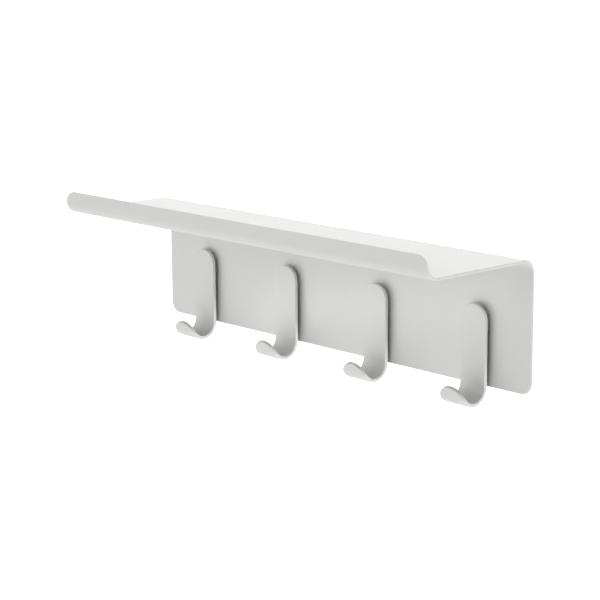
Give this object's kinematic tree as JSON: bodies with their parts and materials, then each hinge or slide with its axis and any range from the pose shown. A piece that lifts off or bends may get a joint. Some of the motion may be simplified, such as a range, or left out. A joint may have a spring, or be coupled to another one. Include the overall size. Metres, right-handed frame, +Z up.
{
  "type": "wall hook rack",
  "caption": "Wall rack folded from sheet steel: back plate, narrow shelf with an upturned front lip, and a row of bent strip hooks that stand off the plate and hang below it.",
  "frame": {"origin": "in the wall plane, at mid-length, on the line of the two seated wall screws: a point on the wall face of the hanging rail", "axes": "+X along the rack to the right as seen from the room, +Y into the wall, +Z up"},
  "size_m": [0.4, 0.117, 0.128],
  "materials": {
    "panel_coat": "matt pale grey powder coat",
    "hook_coat": "matt pale grey powder coat",
    "rail_coat": "matt pale grey powder coat",
    "copper_stud": "copper-flashed weld stud",
    "zinc_spacer": "bright zinc plate",
    "zinc_nut": "bright zinc plate",
    "bumper_rubber": "matt black rubber"
  },
  "bodies": {
    "root": {"shelf_panel": "panel_coat", "hanging_rail": "rail_coat", "hook_1": "hook_coat", "hook_2": "hook_coat", "hook_3": "hook_coat", "hook_4": "hook_coat", "stud_upper_1": "copper_stud", "stud_lower_1": "copper_stud", "stud_upper_2": "copper_stud", "stud_lower_2": "copper_stud", "stud_upper_3": "copper_stud", "stud_lower_3": "copper_stud", "stud_upper_4": "copper_stud", "stud_lower_4": "copper_stud", "spacer_upper_1": "zinc_spacer", "spacer_lower_1": "zinc_spacer", "spacer_upper_2": "zinc_spacer", "spacer_lower_2": "zinc_spacer", "spacer_upper_3": "zinc_spacer", "spacer_lower_3": "zinc_spacer", "spacer_upper_4": "zinc_spacer", "spacer_lower_4": "zinc_spacer", "nut_upper_1": "zinc_nut", "nut_lower_1": "zinc_nut", "nut_upper_2": "zinc_nut", "nut_lower_2": "zinc_nut", "nut_upper_3": "zinc_nut", "nut_lower_3": "zinc_nut", "nut_upper_4": "zinc_nut", "nut_lower_4": "zinc_nut", "bumper_left": "bumper_rubber", "bumper_right": "bumper_rubber"}
  },
  "joints": []
}
